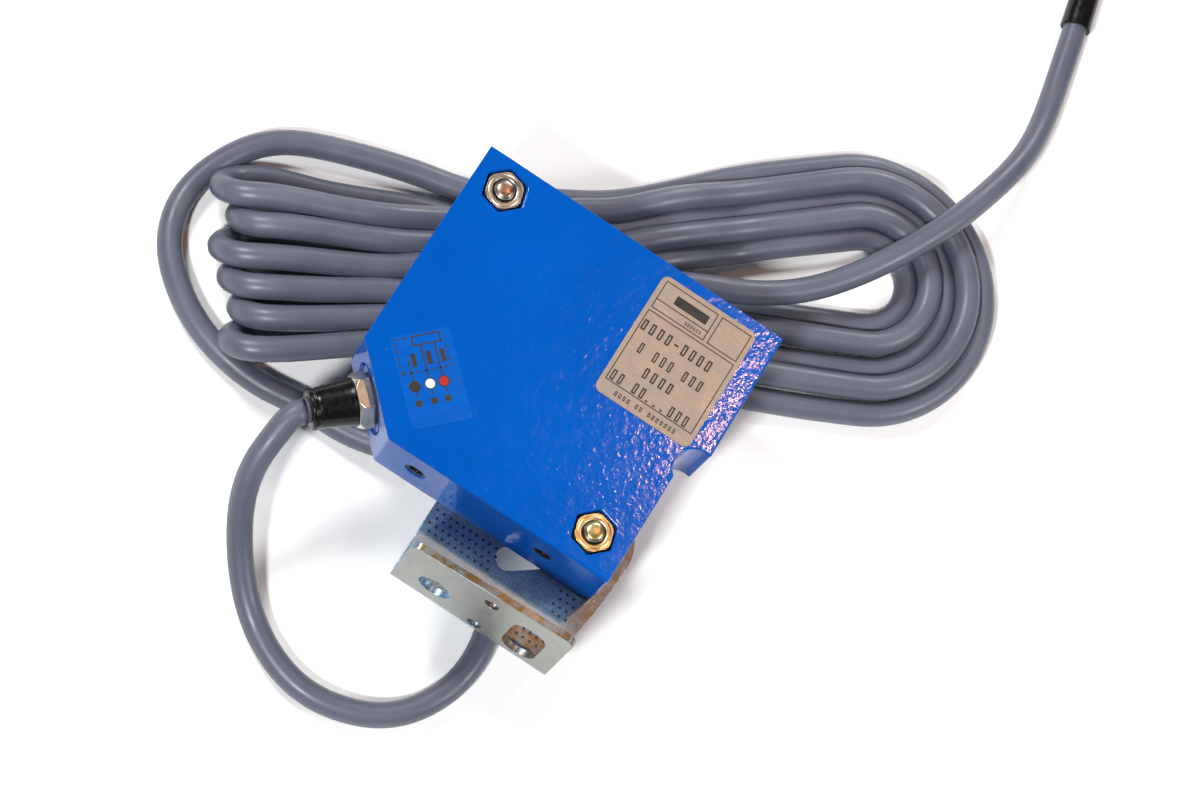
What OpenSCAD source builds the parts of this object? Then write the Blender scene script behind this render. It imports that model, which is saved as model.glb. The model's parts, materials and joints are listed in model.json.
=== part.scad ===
// Block-shaped photoelectric proximity sensor on a swivel bracket, with its folded connecting cable.
// Millimetres. The origin is the middle of the two tapped holes in the long side face.
// +X points out of the optical front, +Y from the tapped face to the adjuster face,
// +Z out of the labelled face. The cable lies on a surface 24.8 mm below the origin.

/* [Housing] */
// Length from the rear face to the optical front
housing_l = 66; // [65:0.5:67]
// Height from the tapped face to the adjuster face
housing_h = 59.5; // [59:0.5:61]
// Thickness through the labelled face
housing_t = 16; // [15.5:0.5:17]
// Distance from the origin to the rear face
rear_reach = 35.5; // [35:0.5:36]
// How far the lower front stands back from the optical front
front_step = 4; // [3:0.5:5]
// Leg of the 45 degree corner that carries the cable gland
corner_cut = 14; // [13:0.5:15]
// Radius of the round notch between the two front faces
notch_r = 4.1; // [3.5:0.1:4.5]
// Height of the notch's middle
notch_y = 27.6; // [27:0.1:28.5]
// Wall thickness of the die-cast shell
wall = 2.2; // [2:0.1:2.4]
// Thickness of the cover plate
cover_t = 1.6; // [1.4:0.1:1.8]
// Thickness of the flat cover seal
seal_t = 0.5; // [0.4:0.1:0.6]

/* [Fixing screws] */
// Nominal diameter of the two through screws
screw_d = 4; // [4:0.1:4.1]
// Width across flats of the nuts
nut_af = 7; // [6.8:0.1:7]
// Height of the nuts
nut_h = 3.2; // [3:0.1:3.4]
// Width across flats of the pockets that hold the nuts
pocket_af = 7.8; // [7.4:0.1:8]
// Turn of the hexagons about the screw
nut_turn = 45; // [0:5:60]
// Distance between the two tapped holes
tapped_pitch = 28; // [27:0.5:29]
// Depth of the tapped holes
tapped_depth = 7; // [6:0.5:8]

/* [Bracket] */
// Thickness of the bracket's sheet
sheet_t = 1.5; // [1.2:0.1:1.5]
// Inside radius of the bend
bend_r = 1.5; // [1.2:0.1:1.5]
// Angle that the flange leans back over the plate
flange_lean = 3; // [0:1:4]
// Height of the flange at its rear end, from the plate's underside
flange_low = 22.3; // [21:0.1:23]
// Height of the flange at its front end
flange_high = 24.7; // [23.5:0.1:25]
// Diameter of the round fixing hole in the flange
flange_hole_d = 6.6; // [6:0.1:7]
// Width of the slotted fixing hole in the flange
flange_slot_w = 7; // [6:0.1:7]
// End-to-end length of the slotted fixing hole
flange_slot_l = 15; // [14:0.5:15]
// Width of the curved adjustment slot in the plate
arc_slot_w = 4.5; // [4.5:0.1:4.8]

/* [Cable] */
// Outside diameter of the cable
cable_d = 5; // [4.8:0.1:5]
// Width across flats of the cable gland
gland_af = 9.6; // [9:0.1:10]
// Length of the rubber boot beyond the gland
boot_l = 9.2; // [8.5:0.1:10]

/* [Hidden] */
$fn = 48;
eps = 0.01;

rear_x = -rear_reach;
nose_x = rear_x + housing_l;
lower_x = nose_x - front_step;
top_z = housing_t / 2;
base_z = -top_z;
inner_x = nose_x - wall;
inner_top_z = top_z - 1.8;
ledge_w = 1.3;
rebate = wall - ledge_w;
cover_top_z = base_z + cover_t;
cavity_z = cover_top_z + seal_t;

upper_screw = [-28.8, 53.5];
lower_screw = [19.5, 6.8];
screws_xy = [upper_screw, lower_screw];
screw_r = screw_d / 2;
column_r = 6.2;
nut_top_z = top_z - 0.3;
pocket_z = nut_top_z - nut_h;
washer_t = 0.8;
washer_r = 4.4;
head_h = 2.4;
head_r = 3.9;
plate_gap = 0.05;
plate_top_z = base_z - plate_gap;
plate_z = plate_top_z - sheet_t;
washer_top_z = plate_z - plate_gap;
head_top_z = washer_top_z - washer_t;

cover_screws_xy = [[-31.7, 24], [0, 3.9], [22.7, 20.5], [9.5, 55.7]];
cover_boss_r = 2.1;
cover_screw_r = 1;

lens_y = [40.4, 50.6];
lens_r = 4.2;
window_y = [33.6, 57.4];
window_half_z = 6.4;
window_t = 1.2;
carrier_x = [14, inner_x - 0.1];
carrier_y = [35.6, 55.4];
carrier_half_z = 5.4;
optics_board_x = 12.4;
board_z = -1.6;
board_t = 1.2;
board_top_z = board_z + board_t;

adjuster_x = -5;
light_x = 5;
adjuster_r = 2;
adjuster_bush_r = 3.4;
running_gap = 0.06;

gland_mid = [rear_x + corner_cut / 2, corner_cut / 2, 0];
gland_hex_h = 3;
gland_face_r = 6.6;
gland_thread_r = 3.5;
gland_thread_l = 6;
spot_depth = 0.4;
boot_end = gland_hex_h + boot_l;

bracket_rear = -7.5;
bracket_front = 26.8;
flange_face_y = -16.9;
bend_y = flange_face_y + bend_r + sheet_t;
bend_steps = 24;
slot_radius = norm(lower_screw - upper_screw);
slot_angles = [-55.3, -40.2];
slot_steps = 16;
lug_r = 6.3;
lobe_xy = [19.5, 9.8];
lobe_r = 10;

cable_r = cable_d / 2;
table_z = -24.8;
rest_z = table_z + cable_r;
hank_turn = 34.8;
hank_low_top = -16.2;
hank_high_top = -9.8;
// Middle of the wide loops, along and across the hank
wide_end = [87.7, 50.9];
wide_r = 28;

// Route of the cable from the boot to the hank
lead_route = [[-37.1, -1.6, 0], [-38.2, -3.1, -0.3], [-39.2, -7.5, -1.8], [-39.5, -13, -5], [-38, -19, -10],
    [-34.5, -24.5, -15], [-30, -29.5, -19], [-24, -34.5, -21.8], [-17, -38.5, rest_z],
    [-8.5, -40.5, rest_z], [-1, -39.5, rest_z], [6.5, -36, rest_z], [11.5, -30.5, rest_z],
    [14.5, -23.5, rest_z], [15, -15, rest_z], [12.5, -7, rest_z], [6, 0, rest_z], [-4, 6.5, rest_z],
    [-14, 12, rest_z], [-22, 17, rest_z], [-30, 23, rest_z]];
// Route of the large loop beside the hank
side_route = [[-45, 58.5, rest_z], [-50, 57, rest_z], [-61, 53, rest_z], [-71, 47.5, rest_z],
    [-77.5, 38, rest_z], [-79.5, 27, rest_z], [-77, 19, rest_z], [-71, 12.5, rest_z],
    [-63.5, 8, rest_z], [-55, 5.5, rest_z], [-46, 5, rest_z], [-38, 6, rest_z], [-30, 6, -21.6],
    [-22, 7, -19.6]];
// Route of the end of the cable, under the housing and across the wide loops
tail_route = [[-22, 7, -19.6], [-14, 10, -16.9], [-8, 15.5, -15.6], [-4.5, 24, -14.4], [-4, 35, -13.5],
    [-2, 48, -13.2], [3, 59, -13], [10, 66, -13.1], [19, 71, -13.7], [31, 80, -14.4], [38.5, 89.5, -14.3],
    [44.5, 100, -13.9], [49, 110, -13.9], [52.5, 121, -15.4], [55, 134, -18.6], [54.5, 146, -21],
    [52.5, 157, -21.6], [50.8, 165.4, -21.6]];
sleeve_from = [50.8, 165.4, -21.6];
sleeve_to = [47, 182.4, -21.6];
wire_r = 0.7;
wire_z = table_z + wire_r;

function unit(v) = v / norm(v);
function heading(route, i) = unit(route[min(i + 1, len(route) - 1)] - route[max(i - 1, 0)]);
function ring(route, i, r, sides) =
    let (along = heading(route, i), side = unit(cross(along, [0, 0, 1])), up = cross(side, along))
    [for (k = [0 : sides - 1]) route[i] + r * (cos(360 * k / sides) * side + sin(360 * k / sides) * up)];

// Closed tube swept along a route, one ring at each of its points
module tube(route, r, sides = 8) {
    rings = len(route);
    points = [for (i = [0 : rings - 1]) each ring(route, i, r, sides)];
    skin = [for (i = [0 : rings - 2], k = [0 : sides - 1])
        [i * sides + k, i * sides + (k + 1) % sides, (i + 1) * sides + (k + 1) % sides, (i + 1) * sides + k]];
    near_end = [for (k = [sides - 1 : -1 : 0]) k];
    far_end = [for (k = [0 : sides - 1]) (rings - 1) * sides + k];
    polyhedron(points, concat(skin, [near_end, far_end]), convexity = 6);
}

// Straight round rod between two points
module rod(from, to, r1, r2) {
    v = to - from;
    translate(from)
        rotate([0, acos(v[2] / norm(v)), atan2(v[1], v[0])])
            cylinder(h = norm(v), r1 = r1, r2 = r2);
}

// Box between two opposite corners
module box(low, high) {
    translate(low)
        cube(high - low);
}

// Things placed on the gland's axis, +Z pointing away from the housing
module at_gland() {
    translate(gland_mid)
        rotate([90, 0, -45])
            children();
}

// Things placed on the adjuster face, +Z pointing out of it
module at_adjuster_face(x, depth) {
    translate([x, housing_h - depth, 0])
        rotate([-90, 0, 0])
            children();
}

module hexagon(af, h) {
    cylinder(h = h, r = af / sqrt(3), $fn = 6);
}

module rounded_plate(l, w, h, r) {
    linear_extrude(h) {
        square([l - 2 * r, w], center = true);
        square([l, w - 2 * r], center = true);
        for (x = [-1, 1], y = [-1, 1])
            translate([x * (l / 2 - r), y * (w / 2 - r)])
                circle(r);
    }
}

// Side view of the housing, drawn smaller all round by inset
module outline(inset) {
    cut = corner_cut + inset * sqrt(2) + 1;
    difference() {
        union() {
            translate([rear_x + inset, inset])
                square([lower_x - rear_x - 2 * inset, housing_h - 2 * inset]);
            translate([rear_x + inset, notch_y + inset])
                square([housing_l - 2 * inset, housing_h - notch_y - 2 * inset]);
        }
        polygon([[rear_x - 1, -1], [rear_x - 1 + cut + 1, -1], [rear_x - 1, cut]]);
        translate([nose_x - 1.3, notch_y])
            circle(notch_r + inset);
    }
}

module housing_bosses() {
    for (p = screws_xy)
        translate([p[0], p[1], cover_top_z])
            cylinder(h = top_z - 1 - cover_top_z, r = column_r);
    for (p = cover_screws_xy)
        translate([p[0], p[1], cavity_z])
            cylinder(h = inner_top_z + 0.5 - cavity_z, r = cover_boss_r);
    for (x = [-1, 1])
        translate([x * tapped_pitch / 2, wall - 1, 0])
            rotate([-90, 0, 0])
                cylinder(h = tapped_depth + 1.5 - wall + 1, r = 3.8);
    at_gland()
        translate([0, 0, -gland_thread_l - 1])
            cylinder(h = gland_thread_l, r = 5.2);
}

module housing_shell() {
    difference() {
        translate([0, 0, base_z])
            linear_extrude(housing_t)
                outline(0);
        translate([0, 0, base_z - eps])
            linear_extrude(cavity_z - base_z + eps)
                outline(rebate);
        translate([0, 0, cavity_z - eps])
            linear_extrude(inner_top_z - cavity_z + eps)
                outline(wall);
    }
    intersection() {
        housing_bosses();
        translate([0, 0, cover_top_z])
            linear_extrude(housing_t)
                outline(rebate);
    }
}

module housing() {
    color("dodgerblue")
        difference() {
            housing_shell();
            for (p = screws_xy)
                translate([p[0], p[1], base_z - 1]) {
                    cylinder(h = housing_t + 2, r = screw_r + 0.2);
                    translate([0, 0, pocket_z - base_z + 1])
                        rotate([0, 0, nut_turn])
                            hexagon(pocket_af, housing_t);
                }
            for (p = cover_screws_xy)
                translate([p[0], p[1], cavity_z - 1])
                    cylinder(h = 6, r = cover_screw_r);
            for (x = [-1, 1])
                translate([x * tapped_pitch / 2, -1, 0])
                    rotate([-90, 0, 0])
                        cylinder(h = tapped_depth + 1, r = screw_r);
            at_gland() {
                translate([0, 0, -12])
                    cylinder(h = 14, r = gland_thread_r);
                translate([0, 0, -spot_depth])
                    cylinder(h = 5, r = gland_face_r);
            }
            box([inner_x - 1, window_y[0] + 1, -window_half_z + 1],
                [nose_x + 1, window_y[1] - 1, window_half_z - 1]);
            box([nose_x - window_t - 0.3, window_y[0], -window_half_z],
                [nose_x + 1, window_y[1], window_half_z]);
            at_adjuster_face(adjuster_x, wall + 1)
                cylinder(h = wall + 2, r = adjuster_bush_r);
            at_adjuster_face(light_x, wall + 1)
                cylinder(h = wall + 2, r = 1.6);
        }
}

module cover() {
    color("royalblue")
        difference() {
            translate([0, 0, base_z])
                linear_extrude(cover_t)
                    outline(rebate + 0.08);
            for (p = screws_xy)
                translate([p[0], p[1], base_z - 1])
                    cylinder(h = cover_t + 2, r = screw_r + 0.2);
            for (p = cover_screws_xy)
                translate([p[0], p[1], base_z - eps]) {
                    cylinder(h = cover_t + 1, r = cover_screw_r + 0.15);
                    cylinder(h = 1.1, r1 = 2.2, r2 = cover_screw_r + 0.15);
                }
        }
}

module cover_seal() {
    color("dimgray")
        difference() {
            translate([0, 0, cover_top_z])
                linear_extrude(seal_t)
                    outline(rebate + 0.08);
            translate([0, 0, cover_top_z - 1])
                linear_extrude(seal_t + 2)
                    outline(wall + 0.1);
            for (p = screws_xy)
                translate([p[0], p[1], cover_top_z - 1])
                    cylinder(h = seal_t + 2, r = column_r + 0.1);
            box([nose_x - window_t - 0.5, window_y[0] - 0.2, cover_top_z - 1],
                [nose_x, window_y[1] + 0.2, cavity_z + 1]);
        }
}

module cover_screws() {
    color("gainsboro")
        for (p = cover_screws_xy)
            translate([p[0], p[1], base_z])
                difference() {
                    union() {
                        cylinder(h = 1, r1 = 2.05, r2 = cover_screw_r);
                        cylinder(h = 7, r = cover_screw_r - 0.03);
                    }
                    box([-1.3, -0.2, -1], [1.3, 0.2, 0.5]);
                    box([-0.2, -1.3, -1], [0.2, 1.3, 0.5]);
                }
}

module front_window() {
    color([0.45, 0.02, 0.03])
        box([nose_x - window_t, window_y[0] + 0.1, -window_half_z + 0.1],
            [nose_x, window_y[1] - 0.1, window_half_z - 0.1]);
}

module window_seal() {
    color("black")
        difference() {
            box([nose_x - window_t - 0.3, window_y[0] + 0.1, -window_half_z + 0.1],
                [nose_x - window_t, window_y[1] - 0.1, window_half_z - 0.1]);
            box([nose_x - window_t - 1, window_y[0] + 1, -window_half_z + 1],
                [nose_x, window_y[1] - 1, window_half_z - 1]);
        }
}

module optics_carrier() {
    color([0.06, 0.06, 0.07])
        difference() {
            box([carrier_x[0], carrier_y[0], -carrier_half_z], [carrier_x[1], carrier_y[1], carrier_half_z]);
            for (y = lens_y)
                translate([0, y, 0])
                    rotate([0, 90, 0]) {
                        translate([0, 0, carrier_x[1] - 3.1])
                            cylinder(h = 4, r = lens_r + 0.1);
                        translate([0, 0, carrier_x[0] - 1])
                            cylinder(h = 20, r = 3.4);
                    }
        }
}

// Plano-convex lens with its flat side towards the window
module lens(y) {
    thick = 2.6;
    ball_r = 7;
    color([0.85, 0.9, 0.95])
        translate([carrier_x[1] - 3, y, 0])
            rotate([0, 90, 0])
                intersection() {
                    cylinder(h = thick, r = lens_r);
                    translate([0, 0, ball_r])
                        sphere(ball_r, $fn = 64);
                }
}

module sender_lens() lens(lens_y[0]);

module receiver_lens() lens(lens_y[1]);

module polarising_filters() {
    color([0.25, 0.25, 0.3])
        for (y = lens_y)
            translate([carrier_x[1] - 0.35, y, 0])
                rotate([0, 90, 0])
                    cylinder(h = 0.3, r = lens_r);
}

// Round opto component with a domed nose that looks along +X
module opto(y, r, l) {
    translate([optics_board_x + board_t, y, 0])
        rotate([0, 90, 0]) {
            cylinder(h = 0.4, r = r + 0.4);
            cylinder(h = l, r = r);
            translate([0, 0, l])
                sphere(r);
        }
}

module sender_led() {
    color([0.8, 0.1, 0.1])
        opto(lens_y[0], 1.5, 2.4);
}

module receiver_photodiode() {
    color([0.15, 0.12, 0.15])
        opto(lens_y[1], 2.4, 2.5);
}

module optics_board() {
    color("seagreen")
        box([optics_board_x, carrier_y[0] + 0.4, -5.2], [optics_board_x + board_t, carrier_y[1] - 0.4, 5.2]);
}

module board_link() {
    color("gold")
        for (k = [0 : 4])
            translate([0, 41 + 2 * k, 0]) {
                box([optics_board_x - 3, -0.25, board_top_z + 0.02],
                    [optics_board_x, 0.25, board_top_z + 0.52]);
                box([optics_board_x - 3, -0.25, board_top_z + 0.02],
                    [optics_board_x - 2.5, 0.25, board_top_z + 1.6]);
            }
}

module main_board() {
    color("forestgreen")
        translate([0, 0, board_z])
            linear_extrude(board_t)
                difference() {
                    translate([-31, 12.5])
                        square([optics_board_x + 30.9, 43]);
                    translate(upper_screw)
                        circle(column_r + 0.8);
                    for (p = cover_screws_xy)
                        translate(p)
                            circle(cover_boss_r + 0.6);
                    polygon([[-40, 34], [-40, 4], [-9, 4]]);
                    translate([adjuster_x - 4.2, 48.6])
                        square([8.4, 10]);
                }
}

// Flat chip with legs along two sides
module chip(mid, l, w, legs) {
    translate([mid[0], mid[1], board_top_z]) {
        box([-l / 2, -w / 2, 0.15], [l / 2, w / 2, 1.7]);
        for (k = [0 : legs - 1], side = [-1, 1])
            translate([(k + 0.5) * l / legs - l / 2, side * (w / 2 + 0.4), 0])
                box([-0.2, -0.5, 0], [0.2, 0.5, 0.5]);
    }
}

module controller_chip() {
    color([0.1, 0.1, 0.11])
        chip([-4, 34], 9.9, 3.9, 8);
}

module voltage_regulator() {
    color([0.12, 0.12, 0.12])
        chip([-12, 24.5], 4.9, 3.9, 4);
}

module output_transistor() {
    color([0.1, 0.1, 0.1])
        chip([2, 22], 6.5, 3.5, 3);
}

module capacitors() {
    color("slategray")
        for (p = [[-12, 42], [-17.5, 36], [5.5, 45]])
            translate([p[0], p[1], board_top_z])
                cylinder(h = 5, r = 2);
}

module indicator_led() {
    color("orange")
        box([light_x - 1, 53.2, board_top_z], [light_x + 1, 55.2, board_top_z + 1.4]);
}

module light_pipe() {
    color([1, 0.75, 0.2])
        at_adjuster_face(light_x, 4) {
            cylinder(h = 4, r = 1.55);
            intersection() {
                cylinder(h = 5, r = 1.55);
                translate([0, 0, 1.4])
                    sphere(3);
            }
        }
}

module adjuster_potentiometer() {
    color("royalblue")
        difference() {
            box([adjuster_x - 3.8, 48.9, -3.8], [adjuster_x + 3.8, housing_h - wall - 1.2, 3.8]);
            at_adjuster_face(adjuster_x, 8)
                cylinder(h = 8, r = 1 + running_gap);
        }
}

module adjuster_bush() {
    color([0.08, 0.08, 0.08])
        difference() {
            at_adjuster_face(adjuster_x, wall + 1)
                cylinder(h = wall + 0.8, r = adjuster_bush_r - 0.02);
            at_adjuster_face(adjuster_x, wall + 2)
                cylinder(h = wall + 4, r = adjuster_r + running_gap);
        }
}

module adjuster_spindle() {
    color("ivory")
        difference() {
            union() {
                at_adjuster_face(adjuster_x, 7.5)
                    cylinder(h = 5, r = 1);
                at_adjuster_face(adjuster_x, wall + 0.9)
                    cylinder(h = wall + 0.4, r = adjuster_r);
            }
            box([adjuster_x - 3, housing_h - 1.4, -0.35], [adjuster_x + 3, housing_h, 0.35]);
        }
}

module gland_body() {
    color("silver")
        at_gland()
            difference() {
                union() {
                    translate([0, 0, -gland_thread_l - 0.5])
                        cylinder(h = gland_thread_l + 0.8, r = gland_thread_r - 0.02);
                    translate([0, 0, 0.2])
                        intersection() {
                            hexagon(gland_af, gland_hex_h - 0.2);
                            translate([0, 0, -0.6])
                                cylinder(h = gland_hex_h + 0.4, r1 = gland_af / 2 + 2.4,
                                    r2 = gland_af / 2 + 0.1);
                        }
                }
                translate([0, 0, -gland_thread_l - 1])
                    cylinder(h = 12, r = cable_r + 0.03);
            }
}

module gland_seal() {
    color([0.05, 0.05, 0.05])
        at_gland()
            translate([0, 0, -spot_depth])
                difference() {
                    cylinder(h = spot_depth + 0.2, r = 4.9);
                    translate([0, 0, -1])
                        cylinder(h = 4, r = gland_thread_r);
                }
}

module gland_boot() {
    color([0.04, 0.04, 0.04])
        at_gland()
            rotate_extrude()
                polygon([[cable_r + 0.03, gland_hex_h], [4.5, gland_hex_h], [4.65, gland_hex_h + 0.5],
                    [4.65, gland_hex_h + 1.6], [4.4, gland_hex_h + 2.2], [4, boot_end - 1.4],
                    [4.35, boot_end - 0.8], [4.25, boot_end], [cable_r + 0.03, boot_end]]);
}

module cable_entry() {
    color("slategray")
        at_gland()
            translate([0, 0, -10])
                cylinder(h = boot_end + 10, r = cable_r);
}

module cable_crimp() {
    color("silver")
        at_gland()
            translate([0, 0, -9.4])
                difference() {
                    cylinder(h = 2, r = cable_r + 0.5);
                    translate([0, 0, -1])
                        cylinder(h = 5, r = cable_r + 0.02);
                }
}

// One insulated core from the end of the cable to its pad on the main board
module core(shift, pad) {
    start = gland_mid + [7.07, 7.07, 0] + shift;
    tube([start, start + [1.6, 1.6, 0.6], [pad[0] - 1.5, pad[1] - 1, board_top_z + 2.2],
        [pad[0] + 0.5, pad[1] + 0.4, board_top_z + 0.75]], 0.65);
}

module core_red() {
    color("firebrick")
        core([-0.9, 0.9, 0], [-17, 20]);
}

module core_white() {
    color("white")
        core([0, 0, 1], [-14.5, 17.5]);
}

module core_black() {
    color([0.1, 0.1, 0.1])
        core([0.9, -0.9, 0], [-12, 15.5]);
}

module fixing_screws() {
    color("lightgray")
        for (p = screws_xy)
            translate([p[0], p[1], 0])
                difference() {
                    union() {
                        translate([0, 0, head_top_z])
                            cylinder(h = top_z + 0.1 - head_top_z, r = screw_r);
                        translate([0, 0, top_z + 0.1])
                            cylinder(h = 0.4, r1 = screw_r, r2 = screw_r - 0.5);
                        intersection() {
                            translate([0, 0, head_top_z - head_h])
                                cylinder(h = head_h, r = head_r);
                            translate([0, 0, head_top_z - head_h + 5.6])
                                sphere(5.6, $fn = 64);
                        }
                    }
                    for (turn = [0, 90])
                        rotate([0, 0, turn])
                            box([-2.2, -0.4, head_top_z - head_h - 1], [2.2, 0.4, head_top_z - head_h + 1.3]);
                }
}

module washers() {
    color("silver")
        for (p = screws_xy)
            translate([p[0], p[1], head_top_z])
                difference() {
                    cylinder(h = washer_t, r = washer_r);
                    translate([0, 0, -1])
                        cylinder(h = washer_t + 2, r = screw_r + 0.15);
                }
}

// Hexagon nut with its upper corners turned off
module nut() {
    difference() {
        intersection() {
            rotate([0, 0, nut_turn])
                hexagon(nut_af, nut_h);
            cylinder(h = nut_h, r1 = nut_af / 2 + 1.6, r2 = nut_af / 2 + 0.2);
        }
        translate([0, 0, -1])
            cylinder(h = nut_h + 2, r = screw_r + 0.02);
        translate([0, 0, nut_h - 0.35])
            cylinder(h = 0.4, r1 = screw_r, r2 = screw_r + 0.4);
    }
}

module upper_nut() {
    color("silver")
        translate([upper_screw[0], upper_screw[1], pocket_z])
            nut();
}

module lower_nut() {
    color("goldenrod")
        translate([lower_screw[0], lower_screw[1], pocket_z])
            nut();
}

// Outline of the slot that follows the arc about the swivel screw, with round ends
module arc_slot() {
    half = arc_slot_w / 2;
    function at(a) = [cos(a), sin(a)];
    near = slot_angles[0];
    far = slot_angles[1];
    step = (far - near) / slot_steps;
    polygon(concat(
        [for (i = [0 : slot_steps]) (slot_radius + half) * at(near + i * step)],
        [for (turn = [15 : 15 : 165]) slot_radius * at(far) + half * at(far + turn)],
        [for (i = [0 : slot_steps]) (slot_radius - half) * at(far - i * step)],
        [for (turn = [195 : 15 : 345]) slot_radius * at(near) + half * at(near + turn)]));
}

module bracket_plate() {
    difference() {
        linear_extrude(sheet_t) {
            polygon([[bracket_rear, bend_y], [bracket_front, bend_y], [29, 1], [29.3, 7], [15, 18.5],
                [bracket_rear, 18.5]]);
            polygon([[bracket_rear, 10], [14, 18.2], upper_screw + [3.6, 5.1], upper_screw + [-4.9, -3.9]]);
            translate(lobe_xy)
                circle(lobe_r);
            translate(upper_screw)
                circle(lug_r);
        }
        translate([upper_screw[0], upper_screw[1], -1]) {
            cylinder(h = sheet_t + 2, r = screw_r + 0.08);
            linear_extrude(sheet_t + 2)
                arc_slot();
        }
    }
}

// Cross-section through the bend: X along the plate, Y up the flange
module bend_section() {
    middle = [bend_y, plate_top_z + bend_r];
    step = (90 + flange_lean) / bend_steps;
    directions = [for (i = [0 : bend_steps]) [-sin(i * step), -cos(i * step)]];
    outer = [for (d = directions) middle + (bend_r + sheet_t) * d];
    inner = [for (i = [0 : bend_steps]) middle + bend_r * directions[bend_steps - i]];
    top = flange_high * [sin(flange_lean), cos(flange_lean)];
    polygon(concat(outer, [outer[bend_steps] + top, inner[0] + top], inner));
}

// What is cut from the top of the flange: X along the bend, Y up the flange from the end of the bend
module flange_top_cut() {
    corner = 2;
    low = [bracket_rear + corner, flange_low - bend_r - sheet_t - corner];
    high = [bracket_front - corner, flange_high - bend_r - sheet_t - corner];
    above = high[1] + 8;
    polygon(concat(
        [[bracket_rear - 0.5, above], [bracket_rear - 0.5, low[1] - 2.5]],
        [for (a = [170 : -10 : 100]) low + corner * [cos(a), sin(a)]],
        [for (a = [80 : -10 : 10]) high + corner * [cos(a), sin(a)]],
        [[bracket_front + 0.5, high[1] - 2.5], [bracket_front + 0.5, above]]));
}

module flange_holes() {
    translate([0.5, 6.5, -2])
        cylinder(h = 6, r = flange_hole_d / 2);
    translate([19.5, 8.3, -2])
        linear_extrude(6) {
            reach = (flange_slot_l - flange_slot_w) / 2;
            square([flange_slot_w, 2 * reach], center = true);
            for (y = [-reach, reach])
                translate([0, y])
                    circle(flange_slot_w / 2);
        }
    for (p = [[10.6, 15.5], [10.4, 1.7]])
        translate([p[0], p[1], -2])
            cylinder(h = 6, r = 1.5);
}

// Puts flat flange things where the flange stands after the bend
module at_flange() {
    translate([0, bend_y, plate_top_z + bend_r])
        rotate([-flange_lean, 0, 0])
            translate([0, -bend_r, 0])
                rotate([90, 0, 0])
                    children();
}

module bracket() {
    color("lightsteelblue")
        difference() {
            union() {
                translate([0, 0, plate_z])
                    bracket_plate();
                translate([bracket_rear, 0, 0])
                    rotate([90, 0, 90])
                        linear_extrude(bracket_front - bracket_rear)
                            bend_section();
            }
            at_flange() {
                flange_holes();
                translate([0, 0, -2])
                    linear_extrude(sheet_t + 4)
                        flange_top_cut();
            }
        }
}

module name_label() {
    color([0.72, 0.68, 0.62])
        translate([15.5, 43.7, top_z])
            rounded_plate(21, 27, 0.15, 1.5);
}

module wiring_film() {
    color([0.1, 0.45, 0.85])
        translate([-21.1, 14.3, top_z])
            rotate([0, 0, -44])
                rounded_plate(18, 11.8, 0.08, 0.6);
}

module cable_lead() {
    color("slategray")
        tube(lead_route, cable_r);
}

// Things placed along the hank: X along it, Y across it
module at_hank(z) {
    translate([0, 0, z])
        rotate([0, 0, hank_turn])
            children();
}

// Outer shape of the folded turns: a low body, and the upper strands at the narrow end
module cable_hank() {
    color("slategray") {
        at_hank(table_z)
            linear_extrude(hank_low_top - table_z)
                hull() {
                    translate(wide_end)
                        circle(wide_r);
                    for (p = [[-38, 68], [-38, 45]])
                        translate(p)
                            circle(3, $fn = 24);
                }
        at_hank(hank_low_top - eps)
            linear_extrude(hank_high_top - hank_low_top + eps)
                hull()
                    for (p = [[-48, 66.5], [-47, 37], [5, 36], [8, 40], [-3, 62]])
                        translate(p)
                            circle(3, $fn = 24);
    }
}

module cable_side_loop() {
    color("slategray")
        tube(side_route, cable_r);
}

module cable_tail() {
    color("slategray")
        tube(tail_route, cable_r);
}

module end_sleeve() {
    color([0.05, 0.05, 0.05])
        rod(sleeve_from, sleeve_to, 3.15, 2.9);
}

module end_wire(shift, route) {
    tube(concat([sleeve_to + shift], route), wire_r);
}

module end_wire_red() {
    color("firebrick")
        end_wire([-1.3, -0.4, -0.5],
            [[45, 186, -23], [42.6, 193, wire_z], [38.5, 199, wire_z], [35, 206, wire_z]]);
}

module end_wire_white() {
    color("white")
        end_wire([0, -0.4, 1.1],
            [[46.4, 188, -22.4], [45.5, 194, wire_z], [44, 201, wire_z], [43, 208, wire_z]]);
}

module end_wire_black() {
    color([0.1, 0.1, 0.1])
        end_wire([1.3, -0.4, -0.5],
            [[47.9, 186.5, -23], [48.6, 193.5, wire_z], [50.5, 200, wire_z], [51, 207, wire_z]]);
}

module wire_ferrules() {
    ends = [[[35, 206, wire_z], [31.8, 212.6, wire_z]], [[43, 208, wire_z], [42.2, 215, wire_z]],
        [[51, 207, wire_z], [51.3, 214, wire_z]]];
    color("gainsboro")
        for (e = ends)
            rod(e[0], e[1], wire_r, wire_r - 0.05);
}

housing();
cover();
cover_seal();
cover_screws();
front_window();
window_seal();
optics_carrier();
sender_lens();
receiver_lens();
polarising_filters();
sender_led();
receiver_photodiode();
optics_board();
board_link();
main_board();
controller_chip();
voltage_regulator();
output_transistor();
capacitors();
indicator_led();
light_pipe();
adjuster_potentiometer();
adjuster_bush();
adjuster_spindle();
gland_body();
gland_seal();
gland_boot();
cable_entry();
cable_crimp();
core_red();
core_white();
core_black();
fixing_screws();
washers();
upper_nut();
lower_nut();
bracket();
name_label();
wiring_film();
cable_lead();
cable_hank();
cable_side_loop();
cable_tail();
end_sleeve();
end_wire_red();
end_wire_white();
end_wire_black();
wire_ferrules();
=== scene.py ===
"""Blue photoelectric proximity sensor on its swivel bracket, with its folded cable."""

import json
import math

import bmesh
import bpy
import numpy as np
from mathutils import Matrix, Vector


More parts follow.
